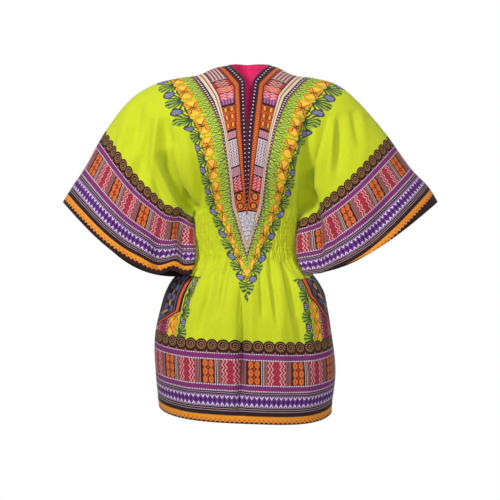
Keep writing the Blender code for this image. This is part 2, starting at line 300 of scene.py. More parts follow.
# %% Tables of the folds
# columns: x and z of the upper end, x and z of the lower end, height, half width, steep side
# (1: towards -x, -1: towards +x)
FRONT_FOLDS = (
    (-236, -84, -252, -210, -14, 17, -0.4),
    (-192, -112, -214, -232, 10, 11, 0),
    (-214, -118, -224, -275, -16, 14, -0.4),
    (-186, -200, -114, -338, -30, 14, -0.4),
    (-178, -125, -164, -258, -12, 13, -0.4),
    (-164, -180, -112, -316, 13, 11, 0),
    (-138, -100, -96, -330, -15, 11, -0.4),
    (-118, -215, -96, -350, -6, 6, 0.3),
    (-262, -120, -292, -240, 6, 12, 0),
    (-206, -240, -170, -322, -13, 10, -0.4),
    (-232, -205, -256, -345, -9, 11, -0.4),
    (138, -104, 133, -330, -31, 14, -0.7),
    (190, -125, 172, -300, 9, 12, 0),
    (204, -112, 196, -250, -13, 12, 0.4),
    (234, -104, 250, -200, -9, 12, 0.4),
    (250, -100, 254, -235, 5, 12, 0),
    (120, -200, 100, -335, -11, 8, -0.5),
    (112, -235, 92, -350, 5, 7, 0),
    (140, -280, 158, -476, -30, 20, -0.6),
    (-146, -330, -127, -462, -16, 12, -0.5),
    (-12, -490, -15, -768, -22, 11, 0.8),
    (-32, -470, -32, -740, 7, 12, 0),
    (8, -480, 2, -740, 6, 12, 0),
    (-40, -430, -62, -560, -11, 7, 0.4),
    (-66, -425, -106, -600, -13, 10, 0.4),
    (-88, -425, -132, -520, -9, 7, 0.4),
    (-118, -450, -150, -600, -7, 10, 0.4),
    (30, -432, 34, -560, -10, 7, 0.4),
    (50, -430, 66, -580, -12, 8, 0.4),
    (78, -428, 106, -560, -11, 8, 0.4),
    (94, -450, 132, -680, -7, 12, -0.4),
    (-45, -470, -70, -720, 6, 14, 0),
    (60, -470, 84, -720, 6, 14, 0),
    (-118, -600, -124, -770, 5, 20, 0),
    (130, -610, 134, -770, 5, 20, 0),
    (-300, -320, -240, -450, -12, 15, 0.4),
    (-272, -250, -226, -390, 6, 14, 0),
    (-196, -385, -180, -484, -18, 13, -0.6),
    (318, -290, 250, -435, -12, 16, -0.3),
    (280, -250, 226, -380, 5, 16, 0),
    (196, -345, 170, -466, -14, 13, -0.5),
)
BACK_FOLDS = (
    (-172, -150, -142, -310, -18, 14, 0.7),
    (170, -150, 144, -310, -18, 14, -0.7),
    (-220, -95, -204, -250, -8, 14, 0.4),
    (218, -92, 208, -255, -8, 14, -0.4),
    (-150, -105, -130, -300, 7, 13, 0),
    (148, -110, 132, -300, 7, 13, 0),
    (-30, -450, -38, -700, -11, 11, 0.6),
    (-84, -445, -112, -650, -9, 12, 0.4),
    (34, -445, 44, -700, -9, 11, -0.6),
    (92, -445, 124, -640, -9, 12, -0.4),
    (4, -450, 4, -720, 6, 14, 0),
    (-60, -450, -78, -720, 6, 14, 0),
    (64, -450, 82, -700, 5, 13, 0),
    (-130, -455, -165, -600, -6, 12, 0.4),
    (-300, -330, -245, -440, -8, 18, 0.4),
    (305, -330, 250, -435, -8, 18, -0.4),
    (-70, -140, -84, -320, -6, 12, 0.3),
    (74, -150, 86, -320, -6, 12, -0.3),
)


def fold_height(points, folds):
    """Height of all folds at each point: across each fold's line the mean of a bell and a tent,
    narrower on its steep side, and along it a sine wave that rises from nothing at both ends."""
    height = np.zeros(points.shape[:-1])
    x, z = points[..., 0], points[..., 2]
    for x0, z0, x1, z1, rise, width, steep in folds:
        along = np.hypot(x1 - x0, z1 - z0)
        dx, dz = (x1 - x0) / along, (z1 - z0) / along
        t = ((x - x0) * dx + (z - z0) * dz) / along
        off = (x - x0) * dz - (z - z0) * dx
        end = np.clip((np.clip(t, 0, 1) - t) * along / width, -3, 3)
        ease = np.sin(np.pi * np.clip(t, 0, 1)) ** 0.6
        off = off / (width * np.where(off * steep > 0, 1 - 0.6 * abs(steep), 1 + 0.4 * abs(steep)))
        crease = 0.5 * np.exp(-(off**2)) + 0.5 * np.clip(1 - np.abs(off) / 1.4, 0, 1)
        height += rise * ease * crease * np.exp(-(end**2))
    return height


# %% The gathers
# columns: waves in a quarter of the waist, height in the shirring, greatest height outside it,
# where that is above or below it, how far the wave reaches
GATHERS = (
    (26, 2.0, 1.6, 4, 20),
    (13, 1.1, 2.2, 12, 48),
    (6.5, 0.4, 3.0, 30, 105),
)
THREAD_ROWS = 9


def gathered(points, side, face):
    """Height of the gathers: cosine waves across, each with its own reach beyond the shirring,
    whose crests wander a little and whose heights vary round the body."""
    place, z = np.broadcast_to(BODY_PLACES, points.shape[:-1]), points[..., 2]
    beyond = np.maximum(z - SHIRRING[0], SHIRRING[1] - z)
    inside = np.clip(1 - beyond / 10, 0, 1)
    row = THREAD_ROWS * (z - SHIRRING[1]) / (SHIRRING[0] - SHIRRING[1])
    pinch = 1 - 0.45 * inside * np.cos(2 * np.pi * row)
    height = np.zeros(place.shape)
    for waves, within, outside, peak, reach in GATHERS:
        wander = 0.16 * np.sin(0.043 * z + waves * place * 1.9 + side) + 0.1 * face
        wander = wander + 0.16 * inside * np.sin(2.1 * row + 31 * place)
        uneven = 0.8 + 0.4 * np.sin(waves * 1.31 * place + 1.7 * side) * np.sin(17 * place + face)
        out = np.clip(beyond, 0, None)
        far = outside * (1 - np.exp(-out / peak)) * np.exp(-(out / reach) ** 2)
        height += (within * inside + far) * uneven * np.cos(2 * np.pi * (waves * place + wander))
    return height * pinch


print("folds:", len(FRONT_FOLDS), "front,", len(BACK_FOLDS), "back")
print("gathers round the waist:", 4 * GATHERS[0][0])

# %% [markdown]
# ## From grids to one sheet
# The smooth grid is pushed along its own outward direction by the folds and gathers. At a seam
# the cloth turns in, so the two panels meet in a shallow groove.

# %% Points of one half panel
SEAM_DIP, SEAM_WIDTH = 0.9, 4
HEM_TURN, HEM_PLY = 20, 0.6


def outward(points, side, face):
    """Unit normals of a grid: the cross product of its steps down and across."""
    normal = np.cross(np.gradient(points, axis=0), np.gradient(points, axis=1)) * -side * face
    normal[:, 0, 0] = 0
    return normal / np.linalg.norm(normal, axis=-1)[..., None]


def lengths(points, axis):
    """Distance along each line of a grid, from its first point."""
    steps = np.linalg.norm(np.diff(points, axis=axis), axis=-1)
    return np.insert(np.cumsum(steps, axis), 0, 0, axis)


def turned_hem(from_hem):
    """Height of a hem turned under: one more ply up to its fold, then level in 3 mm."""
    return HEM_PLY * np.clip((HEM_TURN + 3 - from_hem) / 3, 0, 1)


def half_panel(side, face):
    """Body and sleeve grids of one half: smooth points, normals and final points."""
    upper = bodice(side, face)
    body = np.vstack([upper[:, : BODY_COLUMNS + 1], lower_body(side, face)])
    facing_out = outward(upper, side, face)
    normal = outward(body, side, face)
    normal[:BODICE_ROWS] = facing_out[:BODICE_ROWS, : BODY_COLUMNS + 1]
    folds = FRONT_FOLDS if face < 0 else BACK_FOLDS
    lift = fold_height(body, folds) + gathered(body, side, face)
    from_top = lengths(upper, 0)
    dip = -SEAM_DIP * np.exp(-(from_top / SEAM_WIDTH) ** 2)
    body_dip = dip[:, : BODY_COLUMNS + 1]
    lift[: BODICE_ROWS + 1] += np.where(BODY_PLACES < NECK_END, 0, body_dip)
    from_side = lengths(body[:, ::-1], 1)[:, ::-1]
    lift[BODICE_ROWS:] *= np.clip(from_side[BODICE_ROWS:] / 12, 0, 1)
    lift[BODICE_ROWS:] -= SEAM_DIP * np.exp(-(from_side[BODICE_ROWS:] / SEAM_WIDTH) ** 2)
    lift += turned_hem(lengths(body[::-1], 0)[::-1])
    sleeve = upper[:, BODY_COLUMNS:]
    sleeve_normal = facing_out[:, BODY_COLUMNS:]
    under = from_top[-1] - from_top
    sleeve_lift = fold_height(sleeve, folds) * np.clip(under[:, BODY_COLUMNS:] / 25, 0, 1)
    sleeve_lift += (dip - SEAM_DIP * np.exp(-(under / SEAM_WIDTH) ** 2))[:, BODY_COLUMNS:]
    sleeve_lift += turned_hem(lengths(sleeve[:, ::-1], 1)[:, ::-1])
    made = body + normal * lift[..., None]
    sleeve_made = sleeve + sleeve_normal * sleeve_lift[..., None]
    sleeve_made[:, 0] = made[: BODICE_ROWS + 1, -1]
    return body, normal, made, sleeve, sleeve_normal, sleeve_made


print("half panel points:", sum(a.shape[0] * a.shape[1] for a in half_panel(-1, -1)[::3]))

# %% Making the mesh
CLOTH = 0.6


def cells(points):
    """Four corner numbers for each cell of a grid."""
    number = np.arange(points.shape[0] * points.shape[1]).reshape(points.shape[:2])
    corners = (number[:-1, :-1], number[:-1, 1:], number[1:, 1:], number[1:, :-1])
    return np.stack(corners, -1).reshape(-1, 4)


def sewn_mesh(name, grids, maps=()):
    """One mesh from grids of points in millimetres, welded where they meet. Each grid is its
    points and whether its cells are turned; maps gives, for each UV map, one pair of numbers a
    point in the same order."""
    points, faces, start = [], [], 0
    for grid, flip in grids:
        corner = cells(grid)
        faces.append((corner[:, ::-1] if flip else corner) + start)
        points.append(grid.reshape(-1, 3))
        start += grid.shape[0] * grid.shape[1]
    points, faces = np.vstack(points), np.vstack(faces)
    mesh = bpy.data.meshes.new(name)
    mesh.from_pydata((points * MM).tolist(), [], faces.tolist())
    for label, pairs in maps:
        layer = mesh.uv_layers.new(name=label)
        layer.uv.foreach_set("vector", np.vstack(pairs)[faces.ravel()].astype(np.float32).ravel())
    weld = bmesh.new()
    weld.from_mesh(mesh)
    bmesh.ops.remove_doubles(weld, verts=weld.verts, dist=0.02 * MM)
    weld.to_mesh(mesh)
    weld.free()
    mesh.shade_smooth()
    made = bpy.data.objects.new(name, mesh)
    bpy.context.scene.collection.objects.link(made)
    return made


def thickened(piece, wall):
    """A wall laid on the inner side of the cloth, closed along every free edge."""
    solid = piece.modifiers.new("wall", "SOLIDIFY")
    solid.thickness = wall * MM
    solid.offset = -1
    return piece


# %% [markdown]
# ## Where the print lies on the cloth
# The print was on the cloth before it was cut, so it is drawn in the cloth's own millimetres and
# not in space. One UV map counts along a hem and up from it. A sleeve's rows are stretched a
# little towards the armpit, because its border meets the side seam there. The other UV map
# follows the design round the neck: along it, and across it from the neck edge outward.

# %% The border's map
BORDER = 187
ARMPIT_BORDER = (212, 230)
SLEEVE_MARK = 1000
# columns: share of the way down a sleeve's hem, shift of the bands on the left, on the right
TURNED = ((0, 0, 16), (0.3, 1, 4), (0.5, 2, -8), (0.65, 4, -18), (1, 9, -30))
# columns: distance up from the skirt's hem, how far down the bands lie there
SKIRT_DROP = ((0, 5), (50, 5), (85, 8), (150, 8), (187, 9))


def border_map(body, sleeve, side):
    """Body: distance from the centre line along the hem, and up each column from the hem.
    Sleeve: distance down the hem, marked by a large number, and in along each row from the hem.
    The hem is turned unevenly: bands near it lie a little further in where less is turned."""
    up = lengths(body[::-1], 0)[::-1]
    along = np.broadcast_to(lengths(body, 1)[-1] * side, up.shape)
    inward = lengths(sleeve[:, ::-1], 1)[:, ::-1]
    down = (np.arange(len(inward)) / (len(inward) - 1))[:, None] ** 1.5
    inward = inward * (1 + (ARMPIT_BORDER[side > 0] / inward[-1, 0] - 1) * down)
    share = (np.arange(len(inward)) / (len(inward) - 1))[:, None]
    edge = looked_up(TURNED, share)[..., 0 if side < 0 else 1]
    inward = inward - edge * np.clip(1 - inward / BORDER, 0, 1)
    up = up + looked_up(SKIRT_DROP, np.minimum(up, BORDER))[..., 0]
    hem = np.broadcast_to(lengths(sleeve, 0)[:, -1:] + SLEEVE_MARK, inward.shape)
    return np.stack([along, up], -1).reshape(-1, 2), np.stack([hem, inward], -1).reshape(-1, 2)


print("border reaches", BORDER, "mm from each hem")

# %% The rails of the neck design
# Each row is a line across the design: x and height of its inner and outer end on the left and
# on the right, then the shares of it at which the rails between cross it. Height is counted
# along the cloth from the waist.
FRONT_RAILS = (
    (-42, 52, -210, 21, 53, 52, 232, 10, 0.088, 0.162, 0.346, 0.435, 0.53, 0.65, 0.83),
    (-4, -20, -164, -117, 14, -20, 167, -107, 0.08, 0.155, 0.358, 0.42, 0.50, 0.60, 0.81),
    (0, -155, -132, -139, 0, -155, 150, -135, 0.086, 0.186, 0.325, 0.364, 0.414, 0.58, 0.81),
    (0, -239, -107, -227, 0, -239, 114, -226, 0.06, 0.14, 0.306, 0.348, 0.393, 0.57, 0.815),
    (0, -316, -89, -315, 0, -316, 93, -314, 0.02, 0.06, 0.274, 0.34, 0.395, 0.582, 0.803),
    (0, -316, 0, -541, 0, -316, 0, -541, 0.018, 0.093, 0.378, 0.453, 0.52, 0.636, 0.76),
)
BACK_RAILS = (
    (-42, 52, -210, 21, 53, 52, 232, 10, 0.088, 0.162, 0.346, 0.435, 0.53, 0.65, 0.83),
    (-24, 30, -130, -90, 30, 30, 136, -90, 0.08, 0.155, 0.358, 0.42, 0.50, 0.60, 0.81),
    (0, 22, 0, -150, 0, 22, 0, -150, 0.086, 0.186, 0.325, 0.364, 0.414, 0.58, 0.81),
)
RAIL_WIDTHS = np.array([0, 11, 25, 43, 50, 57, 77, 105, 127.0])
FAR_OUT = 200.0


def cross(a, b):
    """x of a times y of b less y of a times x of b."""
    return a[..., 0] * b[..., 1] - a[..., 1] * b[..., 0]


def neck_map(flat, rails, side):
    """Along and across the neck design at flat points. Between two lines across it, a point lies
    on the line that has moved a share a of the way from one to the other, where a solves a
    quadratic; its share along that line is then read against the rails."""
    rails = np.array(rails, float)
    ends = rails[:, :4] if side < 0 else rails[:, 4:8]
    inner, outer = ends[:, :2], ends[:, 2:]
    shares = np.hstack([np.zeros((len(rails), 1)), rails[:, 8:], np.ones((len(rails), 1))])
    crossing = inner[:, None] + (outer - inner)[:, None] * shares[..., None]
    rail_lengths = lengths(crossing, 0)
    along, over = np.zeros(len(flat)), np.full(len(flat), FAR_OUT)
    for j in range(len(rails) - 1):
        move = inner[j + 1] - inner[j]
        span = outer[j] - inner[j]
        turn = outer[j + 1] - inner[j + 1] - span
        from_inner = flat - inner[j]
        c2 = -cross(move, turn)
        c1 = cross(from_inner, turn) - cross(move, span)
        c0 = cross(from_inner, span)
        root = np.sqrt(np.maximum(c1**2 - 4 * c2 * c0, 0))
        q = -0.5 * (c1 + np.where(c1 < 0, -root, root))
        q = np.where(np.abs(q) < 1e-9, 1e-9, q)
        near = c0 / q
        far = q / (c2 if abs(c2) > 1e-9 else 1e-9)
        a = np.where((near > -1e-4) & (near < 1 + 1e-4), near, far)
        start = inner[j] + a[:, None] * move
        line = span + a[:, None] * turn
        size = np.maximum((line**2).sum(1), 1e-9)
        w = ((flat - start) * line).sum(1) / size
        here = (over > 150) & (a > -1e-4) & (a < 1 + 1e-4) & (w > -0.6) & (w < 1.35)
        a = np.clip(a, 0, 1)[:, None]
        at = shares[j] + a * (shares[j + 1] - shares[j])
        length = rail_lengths[j] + a * (rail_lengths[j + 1] - rail_lengths[j])
        part = (w[:, None] - at[:, :-1]) / np.diff(at, axis=1)
        part[:, 1:] = np.maximum(part[:, 1:], 0)
        part[:, :-1] = np.minimum(part[:, :-1], 1)
        s = length[:, 0] + (np.clip(part, 0, 1) * np.diff(length, axis=1)).sum(1)
        v = (part * np.diff(RAIL_WIDTHS)).sum(1)
        along, over = np.where(here, s, along), np.where(here, v, over)
    return np.stack([along, over], -1)


def flat_points(body, sleeve):
    """x, and height counted along the cloth from the waist. A sleeve's height starts from the
    shoulder seam, whose own height falls with the seam."""
    down = lengths(body, 0)
    height = WAIST_TOP + down[BODICE_ROWS] - down
    sleeve_height = height[0, -1] + sleeve[0, :, 2] - sleeve[0, 0, 2] - lengths(sleeve, 0)
    return (
        np.stack([body[..., 0], height], -1).reshape(-1, 2),
        np.stack([sleeve[..., 0], sleeve_height], -1).reshape(-1, 2),
    )


print("rails:", len(RAIL_WIDTHS))

# %% [markdown]
# ## The print
# Dashiki cotton is printed with pigment or reactive dye in a few flat colours: a lime ground,
# bands along the hems, and a design round the neck. The bands, dots, zigzags, spirals, leaves and
# blossoms are ordinary ornament, drawn plainly here by distance from a line or a point. The
# blocks between the bands hold plain lozenges and ovals. Each mark is a mask of 0 and 1, and
# the dyes are laid through the masks one over another, as a printer lays screens.

# %% A helper for nodes, and the dyes
bench = {}


def add(kind, *inputs, out=0, stops=(), **settings):
    """Adds one node with its settings, fills its sockets in order and returns one output. A
    kind in capitals is the operation of a Math node. stops are a colour ramp's steps."""
    if kind.isupper():
        kind, settings["operation"] = "Math", kind
    node = bench["tree"].nodes.new("ShaderNode" + kind)
    for key, value in settings.items():
        setattr(node, key, value)
    for socket, value in zip(node.inputs, inputs):
        if isinstance(value, bpy.types.NodeSocket):
            bench["tree"].links.new(value, socket)
        elif value is not None:
            socket.default_value = value
    if stops:
        node.color_ramp.interpolation = "CONSTANT"
        node.color_ramp.elements.remove(node.color_ramp.elements[1])
        for place, colour in stops:
            first = node.color_ramp.elements[0]
            step = first if place == stops[0][0] else node.color_ramp.elements.new(place)
            step.position, step.color = place, dye(colour)
    return node.outputs[out]


def dye(colour):
    """An sRGB hex value as linear light: below 0.04045 divided by 12.92, and above it a power."""
    part = np.array([int(colour[i : i + 2], 16) for i in (0, 2, 4)]) / 255
    linear = np.where(part <= 0.04045, part / 12.92, ((part + 0.055) / 1.055) ** 2.4)
    return (*linear.tolist(), 1)


LIME = "ccd81e"
PURPLE, VIOLET, NIGHT, INK = "822a72", "622a86", "2a0f26", "2b1216"
ORANGE, AMBER, GOLD, RUST = "e07c28", "ee982a", "f8c83c", "9c3c18"
PINK, ROSE, CREAM, WHITE = "d04a68", "b03044", "e2cdb0", "e8d6e0"
GREY, MADDER, TAN, LEAF, SLATE = "3e1c3c", "7c3440", "b88a56", "3c5030", "5a5a84"
PALE_LINE, FLAME, BLUSH, GARNET = "b898a4", "d85c2a", "e8b4b4", "7a1c30"
MOSS, BOTTLE, MIST, FERN = "9cb43a", "2c3824", "a9a4c4", "4c6e3c"
WINE, PLUM, UMBER, STEM, DUSTY = "7c2238", "5c4a68", "4a1410", "6c3010", "c890a0"
print("ground dye:", LIME)


# %% Marks of the print
def nearest(at, pitch, start=0):
    """Signed distance to the nearest of a row of marks, pitch apart."""
    moved = add("SUBTRACT", at, start) if start else at
    return add("WRAP", moved, pitch / 2, -pitch / 2)


def band(at, low, high):
    """1 from low to high and 0 elsewhere."""
    return add("COMPARE", at, (low + high) / 2, (high - low) / 2)


def oval(x, y, wide, high):
    """1 where the length of (x over wide, y over high) is less than 1."""
    scaled = add("CombineXYZ", add("DIVIDE", x, wide), add("DIVIDE", y, high))
    return add("LESS_THAN", add("VectorMath", scaled, out=1, operation="LENGTH"), 1)


def lozenge(x, y, wide, high):
    """1 where |x| over wide and |y| over high add up to less than 1."""
    flat = add("DIVIDE", add("ABSOLUTE", x), wide)
    return add("LESS_THAN", add("MULTIPLY_ADD", add("ABSOLUTE", y), 1 / high, flat), 1)


def zigzag(along, at, pitch, height, middle, thick):
    """1 on a line that rises and falls by height about the middle, once each pitch."""
    slope, low = 2 * height / pitch, middle - height / 2
    line = add("MULTIPLY_ADD", add("PINGPONG", along, pitch / 2), slope, low)
    return add("COMPARE", at, line, thick / 2)


FAN_STEP = 0.34


def fan(across, ahead, reach):
    """1 on strokes that spread from a point, one each step of the angle, up to a reach."""
    radius = add("VectorMath", add("CombineXYZ", across, ahead), out=1, operation="LENGTH")
    off = add("MULTIPLY", nearest(add("ARCTAN2", across, ahead), FAN_STEP), radius)
    stroke = add("MULTIPLY", band(off, -1.6, 1.6), band(radius, 5, reach))
    return add("MULTIPLY", stroke, add("GREATER_THAN", ahead, 2))


def banded(at, reach, table):
    """The dye of the band that a distance lies in, from a table of starts below the reach."""
    return add("ValToRGB", add("DIVIDE", at, reach), stops=[(a / reach, c) for a, c in table])


def overprint(colour, *layers):
    """Each layer is a dye or a pattern, and masks: where all are 1, it covers what is below."""
    for top, *masks in layers:
        mask = masks[0]
        for more in masks[1:]:
            mask = add("MULTIPLY", mask, more)
        top = dye(top) if isinstance(top, str) else top
        colour = add("Mix", mask, *[None] * 5, colour, top, data_type="RGBA", out=2)
    return colour


print("strokes in half a turn of a fan:", int(np.pi / FAN_STEP))


# %% [markdown]
# ## The border
# The same bands run along all four hems: an edge with teeth, fine lines, a row of diamonds, a
# row of blocks between two purple bands, and a scalloped row of coils at the top.

# %% The border along every hem
REPEAT = 94
# columns: distance from the hem where a band starts, dye
BANDS = (
    (0, INK), (6, AMBER), (21, INK), (28, "1e1220"), (40, VIOLET), (66, GREY), (78, PURPLE),
    (88, INK), (145, PURPLE), (156, INK), (160, "38160e"),
)
# columns: distance along a repeat where a field starts, dye
FIELDS = ((0, INK), (29, MADDER), (42, ROSE), (80, MADDER), (93, INK))
# columns: distance of a row of beads from the hem, half width and half height of a bead
BEADS = ((76.3, 1.7, 1.4), (89.6, 1.8, 1.5), (143.4, 1.8, 1.5), (156, 1.7, 1.3))


def border(colour, along, up):
    """The bands from the hem inward, over the ground colour."""
    bands = banded(up, 200, BANDS)
    tooth = nearest(along, 10.4)
    side = add("MULTIPLY", add("ABSOLUTE", tooth), 8 / 4.6)
    fine = band(nearest(up, 4.4), -0.6, 0.6)
    from_row = add("SUBTRACT", up, 52.5)
    off_row = add("ABSOLUTE", from_row)
    tooth_edge, diamonds = add("SUBTRACT", off_row, side), band(off_row, 3.5, 11.5)
    bead = nearest(along, 5)
    bands = overprint(
        bands,
        (RUST, band(up, 6, 9), band(tooth, -3.4, 3.4)),
        (INK, oval(tooth, add("SUBTRACT", up, 5), 3.6, 4.6)),
        (FLAME, oval(nearest(along, 10.4, 5.2), add("SUBTRACT", up, 12.5), 1.8, 2.6)),
        (PALE_LINE, fine, band(up, 28, 40)),
        (PALE_LINE, fine, band(up, 66, 75)),
        (WHITE, add("GREATER_THAN", tooth_edge, 3.5), diamonds),
        (VIOLET, add("GREATER_THAN", tooth_edge, 8), diamonds),
        (NIGHT, lozenge(nearest(along, 10.4, 5.2), from_row, 2.6, 4.6)),
        *((WHITE, oval(bead, add("SUBTRACT", up, a), w, h)) for a, w, h in BEADS),
        ("a8606c", lozenge(nearest(along, 23.6, 11.8), add("SUBTRACT", up, 158), 3, 4.5)),
    )
    along_repeat = add("WRAP", along, REPEAT, 0)
    fields = banded(along_repeat, REPEAT, FIELDS)
    left, right = add("SUBTRACT", along_repeat, 14.5), add("SUBTRACT", along_repeat, 61)
    off_left, off_right = add("ABSOLUTE", left), add("ABSOLUTE", right)
    row, link = nearest(up, 16.8, 99.9), nearest(up, 12.6, 96.6)
    seed, gap = add("SUBTRACT", off_left, 6.4), nearest(up, 16.8, 108.3)
    thread = add("MAXIMUM", band(off_left, 15, 16.8), band(off_left, 18.8, 20.6))
    broken, comb = band(nearest(up, 3.4), -1.3, 1.3), band(off_right, 19, 33)
    fields = overprint(
        fields,
        (FLAME, oval(seed, row, 5.6, 9.6)),
        (ORANGE, oval(seed, row, 3.4, 5.4)),
        (RUST, oval(seed, row, 1.2, 3)),
        (INK, lozenge(left, gap, 7, 4)),
        (FLAME, lozenge(left, gap, 3, 2)),
        (NIGHT, band(nearest(off_right, 3.2), -0.6, 0.6), comb),
        ("c88c84", band(nearest(off_right, 3.2, 1.6), -0.65, 0.65), broken, comb),
        ("8a2438", zigzag(up, off_right, 12.6, 5, 12.4, 2.2)),
        (BLUSH, zigzag(up, off_right, 12.6, 5, 15.4, 1.9)),
        (BLUSH, zigzag(up, off_right, 12.6, 5, 9, 1.9)),
        (GARNET, lozenge(right, link, 4.6, 5.4)),
        (PINK, oval(right, link, 1.5, 2)),
        (INK, band(off_left, 14, 21.4)),
        ("e2c0bc", thread, broken),
    )
    bands = overprint(bands, (fields, band(up, 91.5, 142)))
    x, y = nearest(along, 23.6), add("SUBTRACT", up, 173)
    turn = add("DIVIDE", add("ARCTAN2", y, x), 2 * np.pi)
    out = add("VectorMath", add("CombineXYZ", x, y), out=1, operation="LENGTH")
    coil = add("FRACT", add("ADD", add("DIVIDE", out, 4.6), turn))
    bands = overprint(
        bands,
        (TAN, band(out, 1, 7.2), add("LESS_THAN", coil, 0.26)),
        (TAN, band(out, 8.6, 9.6)),
    )
    scallop = add("MAXIMUM", add("LESS_THAN", up, 172), add("LESS_THAN", out, 13.4))
    return overprint(colour, (bands, scallop))


print("border bands:", len(BANDS))


# %% [markdown]
# ## The strips and the neck design
# Above the skirt's border, strips of the next repeat of the print show at the side seams. The
# design round the neck has rails beside the neck edge, a row of panels between two of them,
# and a garland outside.

# %% The strips beside the side seams
STRIP_TOP = 326


def side_strips(colour, along, up):
    """Leaf sprays, a garland, a red strip and a dark one that leans over it towards the waist,
    by distance from the centre line along the hem."""
    off = add("ABSOLUTE", along)
    here = band(up, 175, STRIP_TOP)
    low = band(up, BORDER, 304)
    spray, bud = nearest(up, 46, 8), nearest(up, 46, 32)
    ray = fan(spray, add("SUBTRACT", 158, off), 27)
    from_bud = add("SUBTRACT", off, 144)
    bloom = add("SUBTRACT", add("ABSOLUTE", nearest(up, 46, 20)), 11)
    # the dark strip starts 246 mm out at the border and leans in, more on the left
    lean = add("MULTIPLY_ADD", add("LESS_THAN", along, 0), -0.8, -0.9)
    turned = add("MAXIMUM", add("MULTIPLY_ADD", add("SUBTRACT", up, BORDER), lean, 246), 158)
    past = add("SUBTRACT", off, turned)
    return overprint(
        colour,
        ("b4c62a", band(off, 136, 186), low),
        (MOSS, oval(add("SUBTRACT", off, 142), spray, 12, 15), here),
        (LEAF, ray, here),
        (BOTTLE, oval(from_bud, bud, 7.4, 8.4), here),
        (SLATE, oval(from_bud, bud, 6, 7), here),
        (MIST, band(nearest(bud, 4), -0.8, 0.8), oval(from_bud, bud, 5, 6), here),
        (RUST, oval(add("SUBTRACT", off, 172), bloom, 14.4, 12.4), low),
        (AMBER, oval(add("SUBTRACT", off, 172), bloom, 13.4, 11.4), low),
        (GOLD, oval(add("SUBTRACT", off, 175), bloom, 6, 6), low),
        (STEM, zigzag(up, off, 46, 16, 171, 1.8), low),
        ("8c2468", band(off, 186, 232), here),
        (WHITE, oval(add("SUBTRACT", off, 190), nearest(up, 6.4), 1.5, 1.6), here),
        (ROSE, band(off, 196, 212), here),
        (GARNET, oval(add("SUBTRACT", off, 204), nearest(up, 13), 5, 5), here),
        (WHITE, zigzag(up, off, 8, 5, 220, 1.6), here),
        (INK, add("GREATER_THAN", past, 0), here, add("LESS_THAN", off, 400)),
        (FLAME, band(past, 5, 12), here),
        ("6e6a88", band(past, 18, 20), here),
        (SLATE, oval(add("SUBTRACT", past, 29), nearest(up, 24, 290), 6, 8), here),
        (TAN, oval(add("SUBTRACT", past, 41), nearest(up, 24, 302), 6, 8), here),
        (SLATE, oval(add("SUBTRACT", past, 54), nearest(up, 24, 290), 6, 8), here),
    )


print("side strips reach", STRIP_TOP, "mm above the hem")

# %% Tables of the neck design
# columns: distance from the neck edge where a rail starts, dye
RAILS = (
    (0, "5a0f22"), (1.2, NIGHT), (10, UMBER), (12.2, FLAME), (22.4, UMBER), (25, "7a3044"),
    (43, INK), (44, CREAM), (46.6, "9a5a52"), (48, CREAM), (51.2, INK), (52, "3a1a24"),
    (56.4, TAN), (57.4, INK), (58.6, LIME),
)
# columns: distance along the panels' rail where a panel starts, dye
PANELS = (
    (0, "a8848c"), (58, INK), (61, ROSE), (80, INK), (83, "d85a4a"), (100, INK), (103, "d05068"),
    (122, PURPLE), (136, INK), (141, FLAME), (201, INK), (206, DUSTY), (222, INK),
    (226, "d8c4cc"), (283, INK), (287, DUSTY), (303, INK), (307, "c8323c"), (338, INK),
    (342, FLAME), (386, INK), (389, "d9d2dc"),
)
print("rails:", len(RAILS), "panels:", len(PANELS))


# %% The panels
def neck_panels(along, over):
    """Small fields between two rails, whose middle is 34 mm from the neck edge: stripes, zigzags,
    dots and ovals."""
    across = add("SUBTRACT", over, 34)
    colour = banded(along, 500, PANELS)
    stripe = band(nearest(over, 4), -0.9, 0.9)
    broken = band(nearest(along, 3.4), -1, 1)
    off = add("ABSOLUTE", across)
    beside, seed, eye = add("SUBTRACT", off, 4.8), nearest(along, 20, 151), nearest(along, 22, 353)
    return overprint(
        colour,
        (CREAM, stripe, broken, band(along, 3, 55)),
        (WINE, band(nearest(over, 4, 2), -0.7, 0.7), band(along, 3, 55)),
        (WINE, stripe, broken, band(along, 206, 222)),
        (WINE, stripe, broken, band(along, 287, 303)),
        *((CREAM, zigzag(along, over, 8, 6, at, 1.5), band(along, 61, 100)) for at in (31, 37)),
        *((WHITE, zigzag(along, over, 8, 6, at, 1.8), band(along, 103, 122)) for at in (30, 38)),
        (PALE_LINE, stripe, broken, band(along, 122, 136)),
        (RUST, band(along, 141, 201), band(off, 0, 1.3)),
        (INK, oval(beside, seed, 3.4, 8.6), band(along, 143, 201)),
        (AMBER, oval(beside, seed, 2.1, 6.6), band(along, 143, 201)),
        (INK, oval(nearest(along, 7), nearest(over, 5.6, 34), 1.7, 1.5), band(along, 229, 281)),
        ("8a5a70", band(nearest(along, 7, 3.5), -0.5, 0.5), band(along, 229, 281)),
        *((WHITE, zigzag(along, over, 7, 6, at, 1.6), band(along, 307, 338)) for at in (30, 38)),
        (INK, oval(across, eye, 7.4, 9.4), band(along, 342, 386)),
        (AMBER, oval(across, eye, 4.6, 6.6), band(along, 342, 386)),
        (RUST, oval(across, eye, 1.6, 3), band(along, 342, 386)),
        (PLUM, zigzag(along, over, 9, 7, 29, 1.3), band(along, 389, 560)),
        (PLUM, zigzag(add("ADD", along, 4.5), over, 9, 7, 36, 1.3), band(along, 389, 560)),
        (PLUM, oval(nearest(along, 9), nearest(over, 7, 34), 1.3, 1.3), band(along, 389, 560)),
    )


# %% The garland
LEAFLET, BLOSSOM = 11, 52


